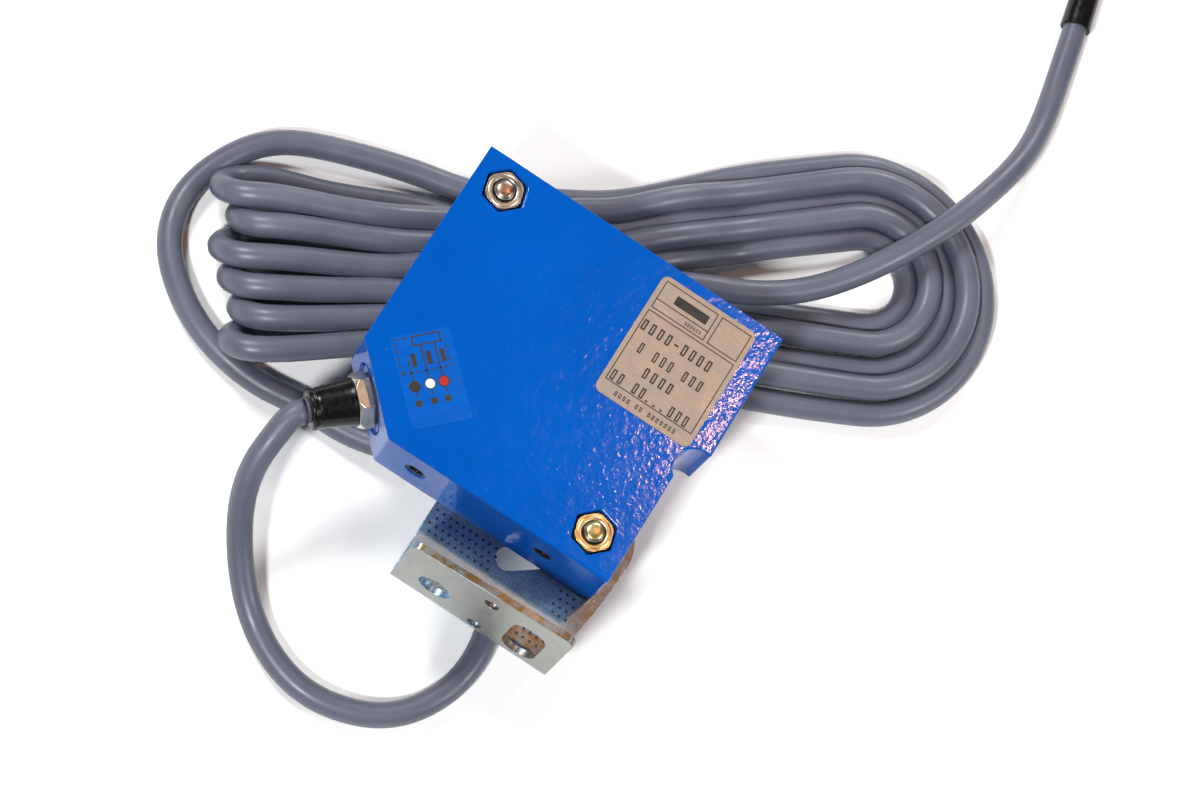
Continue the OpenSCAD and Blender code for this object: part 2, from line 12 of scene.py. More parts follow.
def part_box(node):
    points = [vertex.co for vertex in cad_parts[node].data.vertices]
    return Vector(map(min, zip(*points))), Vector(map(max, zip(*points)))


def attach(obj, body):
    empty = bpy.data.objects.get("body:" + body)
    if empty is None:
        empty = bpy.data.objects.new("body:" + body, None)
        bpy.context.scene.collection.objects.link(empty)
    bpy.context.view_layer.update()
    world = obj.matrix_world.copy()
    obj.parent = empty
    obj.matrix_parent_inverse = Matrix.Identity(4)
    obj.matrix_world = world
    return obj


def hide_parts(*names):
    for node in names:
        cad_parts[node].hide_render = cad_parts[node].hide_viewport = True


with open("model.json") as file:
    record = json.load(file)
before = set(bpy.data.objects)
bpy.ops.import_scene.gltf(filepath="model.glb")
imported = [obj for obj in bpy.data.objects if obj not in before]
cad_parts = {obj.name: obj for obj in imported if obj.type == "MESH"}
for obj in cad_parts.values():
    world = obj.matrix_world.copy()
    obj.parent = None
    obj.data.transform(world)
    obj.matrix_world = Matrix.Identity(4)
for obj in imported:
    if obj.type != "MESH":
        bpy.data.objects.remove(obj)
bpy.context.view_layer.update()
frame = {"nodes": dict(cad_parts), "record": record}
nodes = frame["nodes"]
MM = 0.001

# ---------------------------------------------------------------- camera

CAMERA_AT = Vector((-27.18, -207.62, 652.96)) * MM
CAMERA_AIM = Vector((7.77, 31.87, 0.0)) * MM
CAMERA_UP = Vector((-0.5497, 0.7933, 0.2615))
LENS_MM = 111.2


def aimed(at, target, up):
    """Matrix of something at a place that looks at a target along its own -Z."""
    back = (at - target).normalized()
    right = up.cross(back).normalized()
    turn = Matrix((right, back.cross(right), back)).transposed()
    return Matrix.Translation(at) @ turn.to_4x4()


def add_object(name, data):
    obj = bpy.data.objects.new(name, data)
    bpy.context.scene.collection.objects.link(obj)
    return obj


def make_camera():
    data = bpy.data.cameras.new("camera")
    data.lens = LENS_MM
    data.sensor_width = 36
    data.clip_start = 0.01
    data.clip_end = 20
    camera = add_object("camera", data)
    camera.matrix_world = aimed(CAMERA_AT, CAMERA_AIM, CAMERA_UP)
    bpy.context.scene.camera = camera


# ---------------------------------------------------------------- cable route, in millimetres

CABLE_D = 5.0
TABLE_Z = -24.8
REST_Z = TABLE_Z + CABLE_D / 2
HANK_TURN = math.radians(34.8)
UPPER_Z = -12.3
UNDER_HEAD_Z = -15.5
CROSSING_Z = -17.4
CROSSING_STEP = 2.3
SECOND_LAYER_Z = -19.4
BODY_EDGE_S = -10.0
STRAND_PITCH = 5.0

LEAD_ROUTE = [
    (-37.1, -1.6, 0), (-38.2, -3.1, -0.3), (-39.2, -7.5, -1.8), (-39.5, -13, -5), (-38, -19, -10),
    (-34.5, -24.5, -15), (-30, -29.5, -19), (-24, -34.5, -21.8), (-17, -38.5, REST_Z),
    (-8.5, -40.5, REST_Z), (-1, -39.5, REST_Z), (6.5, -36, REST_Z), (11.5, -30.5, REST_Z),
    (14.5, -23.5, REST_Z), (15, -15, REST_Z), (12.5, -7, REST_Z), (6, 0, REST_Z),
    (-4, 6.5, REST_Z), (-14, 12, REST_Z), (-22, 17, REST_Z), (-30, 23, REST_Z),
]
SIDE_ROUTE = [
    (-45, 58.5, REST_Z), (-50, 57, REST_Z), (-61, 53, REST_Z), (-71, 47.5, REST_Z),
    (-77.5, 38, REST_Z), (-79.5, 27, REST_Z), (-77, 19, REST_Z), (-71, 12.5, REST_Z),
    (-63.5, 8, REST_Z), (-55, 5.5, REST_Z), (-46, 5, REST_Z), (-38, 6, REST_Z), (-30, 6, -21.6),
    (-22, 7, -19.6),
]
TAIL_ROUTE = [
    (-14, 10, -16.9), (-8, 15.5, -15.6), (-4.5, 24, -14.4), (-4, 35, -13.5),
    (-2, 48, -13.2), (3, 59, -13), (10, 66, -13.1), (19, 71, -13.7), (31, 80, -14.4),
    (38.5, 89.5, -14.3), (44.5, 100, -13.9), (49, 110, -13.9), (52.5, 121, -15.4),
    (55, 134, -18.6), (54.5, 146, -21), (52.5, 157, -21.6), (50.8, 165.4, -21.6),
]
INTO_SLEEVE = (49.9, 169.4, -21.6)

# Where the tip of each fold is centred along the hank
TIP_S = (-36.6, -33.8, -37.4, -35.9, -34.2, -37.6)


def on_hank(s, w, z):
    """Point given along the hank, across it and by its height."""
    along = s * math.cos(HANK_TURN) - w * math.sin(HANK_TURN)
    across = s * math.sin(HANK_TURN) + w * math.cos(HANK_TURN)
    return (along, across, z)


def upper_w(k):
    return 61.5 - STRAND_PITCH * k


def lower_w(k):
    return upper_w(k) + 6


def fold(k):
    """Half turn at the narrow end, from the lower strand k up to the upper strand k."""
    upper = Vector((TIP_S[k], 65.6 - 6.1 * k, UPPER_Z))
    over_side_loop = k == 5
    lower_z = REST_Z + 2.3 if over_side_loop else REST_Z
    lower = Vector((TIP_S[k], upper.y + (5.8 if over_side_loop else 6.75), lower_z))
    middle = (upper + lower) / 2
    half = (upper - lower) / 2
    steps = 7
    points = []
    for i in range(steps + 1):
        turn = math.pi * i / steps
        outwards = Vector((-half.length * math.sin(turn), 0, 0))
        points.append(on_hank(*(middle - half * math.cos(turn) + outwards)))
    lower_lead = on_hank(TIP_S[k] + 13, (lower.y + lower_w(k)) / 2 - 0.1, REST_Z)
    upper_lead = on_hank(TIP_S[k] + 13, (upper.y + upper_w(k)) / 2 - 0.1, UPPER_Z)
    return [lower_lead] + points + [upper_lead]


def layer_z(j):
    return REST_Z if j % 2 == 0 else SECOND_LAYER_Z


def far_w(j, s):
    """How far across the hank the side of wide loop j lies that runs towards the upper strands."""
    return 76.5 - 3.8 * j - 0.2 * (76 - s)


def near_w(j, s):
    return 24.7 + 4.55 * j + 0.2 * (78 - s)


def wide_loop(j):
    """Round end of wide loop j, from the side with the upper strands to the other side."""
    radius = 25.9 - 4.18 * j
    middle = (84.8 + 0.2 * j, 50.6 + 0.375 * j)
    sweep = math.radians(101.4)
    steps = 13
    points = []
    for i in range(steps + 1):
        turn = sweep * (1 - 2 * i / steps)
        s = middle[0] + radius * math.cos(turn)
        w = middle[1] + radius * math.sin(turn)
        points.append(on_hank(s, w, layer_z(j)))
    return points


def blend_to(start, end, share):
    ease = share * share * (3 - 2 * share)
    return start + (end - start) * ease


def upper_run(k, j):
    """From the upper strand k under the housing to the wide loop j."""
    end = far_w(j, 34)
    crossing_z = CROSSING_Z + CROSSING_STEP * (j % 2)
    under_head = k < 2
    turns_at = BODY_EDGE_S if under_head else 14 - 3 * (5 - k) - 4
    run = [on_hank(BODY_EDGE_S, upper_w(k), UPPER_Z)]
    for s in (-3, 4, 11, 18, 25):
        share = max(0, s - turns_at) / (34 - turns_at)
        w = blend_to(upper_w(k), end, share)
        dip = blend_to(UPPER_Z, UNDER_HEAD_Z, min(1, (s + 8) / 10)) if under_head else UPPER_Z
        z = dip if s < 8 else blend_to(dip, crossing_z, min(1, (s - 8) / 12))
        run.append(on_hank(s, w, z))
    run.append(on_hank(34, end, crossing_z))
    run.append(on_hank(44, far_w(j, 44), crossing_z))
    run.append(on_hank(60, far_w(j, 60), layer_z(j)))
    return run


def lower_run(k, j):
    """From the lower strand k to the other side of the wide loop j."""
    start = lower_w(k)
    end = 32.8 + STRAND_PITCH * j
    run = [on_hank(BODY_EDGE_S, start, REST_Z)]
    for s in (1, 12, 23):
        run.append(on_hank(s, blend_to(start, end, (s + 10) / 44), REST_Z))
    run.append(on_hank(34, end, REST_Z))
    run.append(on_hank(46, near_w(j, 46), REST_Z))
    run.append(on_hank(60, near_w(j, 60), layer_z(j)))
    return run


def hairpin():
    """Hidden turn under the housing that joins upper strand 4 to upper strand 3."""
    radius = 3.7
    turn_s = 0.5
    points = [on_hank(BODY_EDGE_S, upper_w(3), UPPER_Z), on_hank(-4, 45.6, UPPER_Z)]
    for i in range(7):
        turn = math.pi * (i / 6 - 0.5)
        points.append(
            on_hank(turn_s + radius * math.cos(turn), 49 + radius * math.sin(turn), UPPER_Z)
        )
    points += [on_hank(-4, 52.2, UPPER_Z), on_hank(BODY_EDGE_S, upper_w(2), UPPER_Z)]
    return points


def back(points):
    return list(reversed(points))


def cable_route():
    """Whole cable from the boot to the end sleeve, through every turn of the hank."""
    route = list(LEAD_ROUTE)
    route += fold(5) + upper_run(5, 4) + wide_loop(4) + back(lower_run(0, 4))
    route += fold(0) + upper_run(0, 1) + wide_loop(1) + back(lower_run(3, 1))
    route += fold(3) + hairpin() + back(fold(2)) + lower_run(2, 2)
    route += back(wide_loop(2)) + back(upper_run(1, 2)) + back(fold(1)) + lower_run(1, 3)
    route += back(wide_loop(3)) + back(upper_run(4, 3)) + back(fold(4)) + lower_run(4, 0)
    route += back(wide_loop(0))
    route += [on_hank(60, far_w(0, 60), REST_Z), on_hank(34, 68.1, REST_Z)]
    route += [on_hank(20, 68.5, REST_Z), on_hank(8, 69.7, REST_Z)]
    route += SIDE_ROUTE + TAIL_ROUTE + [INTO_SLEEVE]
    return route


def smooth(points, step):
    """Natural cubic spline through the points, sampled about every step."""
    knots = np.array(points, float)
    gaps = np.linalg.norm(np.diff(knots, axis=0), axis=1)
    along = np.concatenate([[0], np.cumsum(gaps)])
    count = len(knots)
    system = np.eye(count)
    right = np.zeros((count, 3))
    for i in range(1, count - 1):
        system[i, i - 1] = gaps[i - 1]
        system[i, i] = 2 * (gaps[i - 1] + gaps[i])
        system[i, i + 1] = gaps[i]
        after = (knots[i + 1] - knots[i]) / gaps[i]
        before = (knots[i] - knots[i - 1]) / gaps[i - 1]
        right[i] = 6 * (after - before)
    bend = np.linalg.solve(system, right)
    places = np.linspace(0, along[-1], int(along[-1] / step) + 1)
    index = np.clip(np.searchsorted(along, places, side="right") - 1, 0, count - 2)
    gap = gaps[index][:, None]
    b = (places - along[index])[:, None] / gap
    a = 1 - b
    line = a * knots[index] + b * knots[index + 1]
    curve = ((a**3 - a) * bend[index] + (b**3 - b) * bend[index + 1]) * gap**2 / 6
    path = line + curve
    path[:, 2] = np.maximum(path[:, 2], REST_Z)
    return path


def tube_rings(points, radius, sides):
    """Rings of points round a path, each turned as little as possible from the one before."""
    ahead = np.gradient(points, axis=0)
    ahead /= np.linalg.norm(ahead, axis=1)[:, None]
    side = np.cross(ahead[0], (0.0, 0.0, 1.0))
    turns = np.arange(sides) * 2 * math.pi / sides
    rings = []
    for point, along in zip(points, ahead):
        side = side - along * side.dot(along)
        side /= np.linalg.norm(side)
        up = np.cross(along, side)
        ring = point + radius * (np.outer(np.cos(turns), side) + np.outer(np.sin(turns), up))
        rings.append(ring)
    return rings


def tube_mesh(name, points, radius, sides=20):
    """Round tube along a path in millimetres, closed at both ends."""
    rings = tube_rings(points, radius, sides)
    faces = []
    for i in range(len(rings) - 1):
        for k in range(sides):
            after = (k + 1) % sides
            here, there = i * sides, (i + 1) * sides
            faces.append((here + k, here + after, there + after, there + k))
    last = (len(rings) - 1) * sides
    faces.append(tuple(reversed(range(sides))))
    faces.append(tuple(range(last, last + sides)))
    data = bpy.data.meshes.new(name)
    data.from_pydata((np.concatenate(rings) * MM).tolist(), [], faces)
    for face in data.polygons[:-2]:
        face.use_smooth = True
    return add_object(name, data)


def make_cable():
    points = smooth(cable_route(), 1.8)
    cable = tube_mesh("connecting_cable", points, CABLE_D / 2)
    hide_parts("cable_lead", "cable_hank", "cable_side_loop", "cable_tail")
    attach(cable, "root")
    return cable, points


# ---------------------------------------------------------------- materials


def new_material(name):
    material = bpy.data.materials.new(name)
    material.use_nodes = True
    tree = material.node_tree
    return material, tree, tree.nodes["Principled BSDF"]


def add_node(tree, kind, settings=None, **inputs):
    """Adds a shader node; inputs are values, or sockets to link."""
    node = tree.nodes.new("ShaderNode" + kind)
    for key, value in (settings or {}).items():
        setattr(node, key, value)
    for key, value in inputs.items():
        socket = node.inputs[int(key[1:])] if key[1:].isdigit() else node.inputs[key.replace("_", " ")]
        if isinstance(value, bpy.types.NodeSocket):
            tree.links.new(value, socket)
        else:
            socket.default_value = value
    return node


def object_place(tree):
    return add_node(tree, "TexCoord").outputs["Object"]


def noise(tree, per_metre, detail=3.0, roughness=0.5, place=None):
    source = place or object_place(tree)
    node = add_node(
        tree, "TexNoise", Vector=source, Scale=per_metre, Detail=detail, Roughness=roughness
    )
    return node.outputs["Fac"]


def ramp(tree, factor, stops, smooth_steps=False):
    """Colour ramp through (position, colour) stops; a number stands for a grey."""
    node = add_node(tree, "ValToRGB", Fac=factor)
    if smooth_steps:
        node.color_ramp.interpolation = "EASE"
    elements = node.color_ramp.elements
    while len(elements) < len(stops):
        elements.new(0.5)
    for element, (position, colour) in zip(elements, stops):
        element.position = position
        grey = isinstance(colour, (int, float))
        element.color = (colour, colour, colour, 1) if grey else (*colour, 1)
    return node.outputs["Color"]


def mixed(tree, factor, first, second, blend="MIX"):
    node = add_node(tree, "Mix", {"data_type": "RGBA", "blend_type": blend}, Factor=factor)
    for socket, value in ((node.inputs[6], first), (node.inputs[7], second)):
        if isinstance(value, bpy.types.NodeSocket):
            tree.links.new(value, socket)
        else:
            socket.default_value = (*value, 1)
    return node.outputs[2]


def maths(tree, operation, first, second=0.0):
    return add_node(tree, "Math", {"operation": operation}, _0=first, _1=second).outputs[0]


def bumped(tree, shader, height, strength, distance, before=None):
    node = add_node(tree, "Bump", Height=height, Strength=strength, Distance=distance)
    if before:
        tree.links.new(before, node.inputs["Normal"])
    tree.links.new(node.outputs["Normal"], shader.inputs["Normal"])
    return node.outputs["Normal"]


def paint_inputs(shader, **values):
    for key, value in values.items():
        shader.inputs[key.replace("_", " ")].default_value = value


def plain(name, dark, light, rough, grain, bump=0.0, metal=0.0, **extra):
    """Surface whose colour and gloss wander a little: rough is (low, high), grain is per metre."""
    material, tree, shader = new_material(name)
    wander = noise(tree, grain, 4)
    tree.links.new(ramp(tree, wander, [(0.3, dark), (0.7, light)]), shader.inputs["Base Color"])
    gloss = ramp(tree, noise(tree, grain * 2.7, 3), [(0.3, rough[0]), (0.7, rough[1])])
    tree.links.new(gloss, shader.inputs["Roughness"])
    if bump:
        bumped(tree, shader, noise(tree, grain * 6, 3), bump, 0.0001)
    paint_inputs(shader, Metallic=metal, **extra)
    return material


def housing_paint():
    """Glossy blue stove enamel with a light orange peel and dulled patches."""
    material, tree, shader = new_material("housing_paint")
    patches = noise(tree, 60, 3)
    specks = noise(tree, 1500, 2)
    colour = ramp(tree, patches, [(0.3, (0.000, 0.068, 0.35)), (0.75, (0.000, 0.078, 0.395))])
    dust = ramp(tree, specks, [(0.72, 0.0), (0.8, 1.0)])
    dusty = mixed(tree, maths(tree, "MULTIPLY", dust, 0.12), colour, (0.35, 0.5, 0.75))
    tree.links.new(dusty, shader.inputs["Base Color"])
    gloss = ramp(tree, noise(tree, 260, 4), [(0.35, 0.06), (0.7, 0.10)])
    tree.links.new(gloss, shader.inputs["Roughness"])
    first = bumped(tree, shader, noise(tree, 700, 3), 0.3, 0.00014)
    bumped(tree, shader, noise(tree, 1400, 2), 0.05, 0.0001, first)
    paint_inputs(shader, IOR=1.4, Specular_IOR_Level=0.42)
    return material


def cable_sheath():
    """Grey PVC: satin, faintly blue, with handling marks and a few dark scuffs."""
    material, tree, shader = new_material("cable_sheath")
    broad = noise(tree, 45, 3)
    base = ramp(tree, broad, [(0.3, (0.080, 0.088, 0.122)), (0.7, (0.112, 0.122, 0.162))])
    smudge = ramp(tree, noise(tree, 160, 5, 0.65), [(0.6, 0.0), (0.78, 1.0)])
    smudged = mixed(tree, maths(tree, "MULTIPLY", smudge, 0.35), base, (0.10, 0.095, 0.10))
    scuff = ramp(tree, noise(tree, 90, 6, 0.7), [(0.70, 0.0), (0.74, 1.0)])
    scuffed = mixed(tree, maths(tree, "MULTIPLY", scuff, 0.8), smudged, (0.02, 0.018, 0.02))
    tree.links.new(scuffed, shader.inputs["Base Color"])
    gloss = ramp(tree, noise(tree, 300, 4), [(0.3, 0.34), (0.7, 0.46)])
    tree.links.new(gloss, shader.inputs["Roughness"])
    bumped(tree, shader, noise(tree, 1300, 3), 0.12, 0.00012)
    paint_inputs(shader, Specular_IOR_Level=0.5)
    return material


def facing(tree, axis):
    """Part of the true normal along one axis: 0 for X, 1 for Y, 2 for Z."""
    geometry = add_node(tree, "NewGeometry")
    split = add_node(tree, "SeparateXYZ", Vector=geometry.outputs["True Normal"])
    return split.outputs[axis]


def bracket_zinc():
    """Zinc-plated sheet with a fine sparkle, yellowed on its cut edges and holes, with a painted reflection band
    along the plate and painted shade behind the slot.
    """
    material, tree, shader = new_material("bracket_zinc")
    sparkle = noise(tree, 2600, 3, 0.6)
    steel = ramp(tree, sparkle, [(0.32, (0.12, 0.22, 0.34)), (0.68, (0.36, 0.52, 0.68))])
    haze = ramp(tree, noise(tree, 90, 3), [(0.4, 0.0), (0.75, 1.0)])
    hazed = mixed(tree, maths(tree, "MULTIPLY", haze, 0.3), steel, (0.34, 0.40, 0.44))
    outside = maths(tree, "LESS_THAN", facing(tree, 1), -0.9)
    split = add_node(tree, "SeparateXYZ", Vector=object_place(tree))
    # Painted reflection: a lighter band along the plate, a little out from the housing.
    reflection_offset = maths(tree, "ABSOLUTE", maths(tree, "ADD", split.outputs[1], 0.0074))
    painted_reflection = ramp(tree, maths(tree, "MULTIPLY", reflection_offset, 400.0), [(0.1, 0.7), (0.6, 0.0)], True)
    with_reflection = mixed(tree, painted_reflection, hazed, (0.36, 0.50, 0.62))
    sides = mixed(tree, outside, with_reflection, (0.29, 0.305, 0.28))
    right_side = ramp(tree, maths(tree, "MULTIPLY", split.outputs[0], 20.0), [(0.46, 0.0), (0.6, 1.0)])
    upward = maths(tree, "GREATER_THAN", facing(tree, 2), 0.9)
    high = maths(tree, "GREATER_THAN", split.outputs[2], 0.004)
    top_edge = maths(tree, "MULTIPLY", upward, high)
    broken = ramp(tree, noise(tree, 420, 5, 0.7), [(0.35, 0.25), (0.6, 1.0)])
    # The plate behind the slot takes the yellow-brown of the passivated bend, which here also stands in as painted
    # shade under the flange.
    behind_slot = maths(
        tree,
        "MULTIPLY",
        maths(tree, "GREATER_THAN", split.outputs[0], 0.011),
        maths(tree, "LESS_THAN", split.outputs[1], -0.0112),
    )
    on_flange = maths(tree, "GREATER_THAN", split.outputs[2], -0.005)
    sideways = maths(tree, "LESS_THAN", maths(tree, "ABSOLUTE", facing(tree, 1)), 0.5)
    in_slot = maths(tree, "MULTIPLY", on_flange, maths(tree, "GREATER_THAN", split.outputs[0], 0.008))
    slot_walls_and_shade = maths(tree, "MAXIMUM", maths(tree, "MULTIPLY", in_slot, sideways), behind_slot)
    slot_walls_and_shade = maths(tree, "MULTIPLY", slot_walls_and_shade, maths(tree, "SUBTRACT", 1.0, outside))
    not_outside = maths(tree, "SUBTRACT", 1.0, outside)
    marked = maths(tree, "MULTIPLY", maths(tree, "MAXIMUM", right_side, top_edge), not_outside)
    yellowing_and_shade = maths(tree, "MULTIPLY", maths(tree, "MAXIMUM", marked, slot_walls_and_shade), broken)
    yellowed_and_shaded = mixed(tree, yellowing_and_shade, sides, (0.21, 0.135, 0.05))
    tree.links.new(yellowed_and_shaded, shader.inputs["Base Color"])
    gloss = ramp(tree, noise(tree, 700, 4), [(0.3, 0.3), (0.7, 0.42)])
    tree.links.new(gloss, shader.inputs["Roughness"])
    bumped(tree, shader, noise(tree, 1900, 3), 0.10, 0.00008)
    paint_inputs(shader, Metallic=0.85)
    return material


def label_foil():
    """Silver-beige printed foil, brushed finely along its length."""
    material, tree, shader = new_material("label_foil")
    stretch = add_node(tree, "Mapping", Vector=object_place(tree), Scale=(1, 9, 1))
    streaks = noise(tree, 700, 3, place=stretch.outputs[0])
    tree.links.new(
        ramp(tree, streaks, [(0.3, (0.285, 0.25, 0.21)), (0.7, (0.36, 0.315, 0.27))]),
        shader.inputs["Base Color"],
    )
    tree.links.new(
        ramp(tree, noise(tree, 300, 3), [(0.3, 0.3), (0.7, 0.42)]), shader.inputs["Roughness"]
    )
    bumped(tree, shader, streaks, 0.05, 0.00005)
    paint_inputs(shader, Metallic=0.35)
    return material


def nut_finish(name, dark, light, rim):
    """Plated steel whose tone wanders in darker and brighter patches."""
    material, tree, shader = new_material(name)
    patchy = noise(tree, 300, 3, 0.5)
    colour = ramp(tree, patchy, [(0.2, dark), (0.38, light), (0.75, rim)])
    tree.links.new(colour, shader.inputs["Base Color"])
    gloss = ramp(tree, noise(tree, 600, 3), [(0.3, 0.28), (0.7, 0.38)])
    tree.links.new(gloss, shader.inputs["Roughness"])
    bumped(tree, shader, noise(tree, 1200, 2), 0.03, 0.00003)
    paint_inputs(shader, Metallic=1.0)
    return material


def clear_plastic(name, tint, rough, transmission):
    material, tree, shader = new_material(name)
    wander = noise(tree, 500, 2)
    paler = tuple(min(1, c * 1.15 + 0.01) for c in tint)
    tree.links.new(ramp(tree, wander, [(0.3, tint), (0.7, paler)]), shader.inputs["Base Color"])
    gloss = ramp(tree, noise(tree, 900, 2), [(0.3, rough), (0.7, rough + 0.05)])
    tree.links.new(gloss, shader.inputs["Roughness"])
    paint_inputs(shader, Transmission_Weight=transmission, IOR=1.49)
    return material


def make_materials():
    """Every finish, by the material slot that it belongs to."""
    return {
        "housing_paint": housing_paint(),
        "seal_rubber": plain("seal_rubber", (0.012, 0.012, 0.013), (0.03, 0.03, 0.03), (0.5, 0.7), 400, 0.1),
        "small_screws": nut_finish("small_screws", (0.25, 0.25, 0.24), (0.5, 0.5, 0.48), (0.7, 0.7, 0.66)),
        "window_plastic": clear_plastic("window_plastic", (0.42, 0.012, 0.02), 0.03, 0.9),
        "black_plastic": plain("black_plastic", (0.010, 0.010, 0.011), (0.022, 0.022, 0.024), (0.3, 0.45), 500, 0.05),
        "lens_clear": clear_plastic("lens_clear", (0.80, 0.86, 0.88), 0.02, 0.95),
        "filter_film": clear_plastic("filter_film", (0.20, 0.21, 0.24), 0.08, 0.5),
        "led_red": clear_plastic("led_red", (0.60, 0.02, 0.02), 0.06, 0.5),
        "photodiode_dark": clear_plastic("photodiode_dark", (0.05, 0.03, 0.05), 0.06, 0.3),
        "board_green": plain("board_green", (0.006, 0.10, 0.035), (0.012, 0.16, 0.05), (0.25, 0.38), 220, 0.05),
        "gold_pins": nut_finish("gold_pins", (0.55, 0.36, 0.1), (0.8, 0.55, 0.2), (0.95, 0.75, 0.35)),
        "chip_black": plain("chip_black", (0.012, 0.012, 0.013), (0.03, 0.03, 0.032), (0.45, 0.6), 900, 0.08),
        "capacitor_can": nut_finish("capacitor_can", (0.45, 0.46, 0.48), (0.6, 0.62, 0.64), (0.75, 0.76, 0.78)),
        "indicator_amber": clear_plastic("indicator_amber", (0.75, 0.28, 0.02), 0.08, 0.6),
        "pot_blue": plain("pot_blue", (0.02, 0.08, 0.35), (0.03, 0.12, 0.45), (0.3, 0.4), 500, 0.04),
        "spindle_white": plain("spindle_white", (0.62, 0.60, 0.55), (0.78, 0.77, 0.72), (0.35, 0.5), 500, 0.05),
        "nickel": nut_finish("nickel", (0.30, 0.27, 0.22), (0.62, 0.58, 0.50), (0.85, 0.82, 0.75)),
        "boot_rubber": plain("boot_rubber", (0.0025, 0.0025, 0.003), (0.006, 0.006, 0.007), (0.2, 0.34), 350, 0.12, Specular_IOR_Level=0.3),
        "cable_grey": cable_sheath(),
        "core_red": plain("core_red", (0.30, 0.008, 0.008), (0.42, 0.018, 0.014), (0.35, 0.5), 300, 0.04),
        "core_white": plain("core_white", (0.64, 0.64, 0.60), (0.80, 0.80, 0.76), (0.35, 0.5), 300, 0.04),
        "core_black": plain("core_black", (0.010, 0.010, 0.010), (0.024, 0.024, 0.024), (0.35, 0.5), 300, 0.04),
        "screw_zinc": nut_finish("screw_zinc", (0.24, 0.22, 0.20), (0.50, 0.45, 0.38), (0.72, 0.64, 0.52)),
        "nut_zinc": nut_finish("nut_zinc", (0.16, 0.15, 0.12), (0.36, 0.35, 0.31), (0.66, 0.62, 0.54)),
        "nut_yellow_zinc": nut_finish("nut_yellow_zinc", (0.58, 0.42, 0.17), (0.72, 0.53, 0.24), (0.84, 0.66, 0.36)),
        "bracket_zinc": bracket_zinc(),
        "label_silver": label_foil(),
        "label_film": plain("label_film", (0.000, 0.078, 0.38), (0.000, 0.090, 0.425), (0.10, 0.15), 260, 0.02),
        "ferrule_tin": nut_finish("ferrule_tin", (0.5, 0.5, 0.5), (0.68, 0.68, 0.68), (0.82, 0.82, 0.82)),
        "floor": floor_material(),
    }


def floor_material():
    return plain("floor_pale", (0.94, 0.94, 0.945), (0.97, 0.97, 0.97), (0.6, 0.75), 30)


def finish_piece(piece, material):
    piece.data.materials.clear()
    piece.data.materials.append(material)


def paint_nodes(materials):
    """Gives every CAD node the finish of its own slot."""
    by_node = {}
    for entry in frame["record"]["materials"]:
        for name in entry.get("nodes", []):
            by_node[name] = entry["slot"]
    for name, node in nodes.items():
        for slot in node.material_slots:
            key = by_node.get(name) or slot.material.name.split(".")[0]
            if key in materials:
                slot.material = materials[key]


# ---------------------------------------------------------------- rounding the CAD edges

EDGE_ROUNDING = {
    "housing": 0.4, "cover": 0.2, "bracket": 0.22, "upper_nut": 0.14, "lower_nut": 0.14,
    "gland_body": 0.16, "washers": 0.12, "fixing_screws": 0.1, "front_window": 0.15,
    "cover_screws": 0.05, "adjuster_spindle": 0.08, "wire_ferrules": 0.1, "main_board": 0.05,
}


def round_edges(node, width):
    """Welds the CAD faces, drops their flat triangles and rounds the edges between them."""
    mesh = node.data
    if "custom_normal" in mesh.attributes:
        mesh.attributes.remove(mesh.attributes["custom_normal"])
    for face in mesh.polygons:
        face.use_smooth = True
    weld = node.modifiers.new("weld", "WELD")
    weld.merge_threshold = 1e-6
    flat = node.modifiers.new("flat", "DECIMATE")
    flat.decimate_type = "DISSOLVE"
    flat.angle_limit = math.radians(1)
    bevel = node.modifiers.new("bevel", "BEVEL")
    bevel.width = width * MM
    bevel.segments = 3
    bevel.limit_method = "ANGLE"
    bevel.angle_limit = math.radians(34)
    bevel.harden_normals = True
    bevel.use_clamp_overlap = node.name != "housing"


# ---------------------------------------------------------------- separate detail pieces


def mesh_object(name, build, material, body="root"):
    """Object whose mesh is built, in metres, by build(bm)."""
    bm = bmesh.new()
    build(bm)
    bmesh.ops.recalc_face_normals(bm, faces=bm.faces)
    data = bpy.data.meshes.new(name)
    bm.to_mesh(data)
    bm.free()
    piece = add_object(name, data)
    finish_piece(piece, material)
    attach(piece, body)
    return piece


def smooth_faces(piece):
    for face in piece.data.polygons:
        face.use_smooth = True


def lathe(profile, sides, place):
    """Closed turned shape from (radius, height) pairs; place maps points into the row frame."""

    def build(bm):
        rings = []
        for radius, height in profile:
            ring = []
            for k in range(sides):
                turn = 2 * math.pi * k / sides
                point = Vector((radius * math.cos(turn), radius * math.sin(turn), height))
                ring.append(bm.verts.new(place @ (point * MM)))
            rings.append(ring)
        for lower, upper in zip(rings, rings[1:]):
            for k in range(sides):
                after = (k + 1) % sides
                bm.faces.new((lower[k], lower[after], upper[after], upper[k]))
        bm.faces.new(list(reversed(rings[0])))
        bm.faces.new(rings[-1])

    return build


def slab(bm, place, low, high, thick):
    """Thin printed bar between two corners of a flat area."""
    corners = []
    for z in (0, thick):
        for x, y in ((low[0], low[1]), (high[0], low[1]), (high[0], high[1]), (low[0], high[1])):
            corners.append(bm.verts.new(place @ (Vector((x, y, z)) * MM)))
    sides = [(0, 3, 2, 1), (4, 5, 6, 7), (0, 1, 5, 4), (1, 2, 6, 5), (2, 3, 7, 6), (3, 0, 4, 7)]
    for side in sides:
        bm.faces.new([corners[i] for i in side])


INK_T = 0.03
LABEL_LINE = 0.2


def frame_lines(bm, place, low, high, width):
    """Rectangle drawn with four thin bars."""
    slab(bm, place, low, (high[0], low[1] + width), INK_T)
    slab(bm, place, (low[0], high[1] - width), high, INK_T)
    slab(bm, place, (low[0], low[1] + width), (low[0] + width, high[1] - width), INK_T)
    slab(bm, place, (high[0] - width, low[1] + width), (high[0], high[1] - width), INK_T)


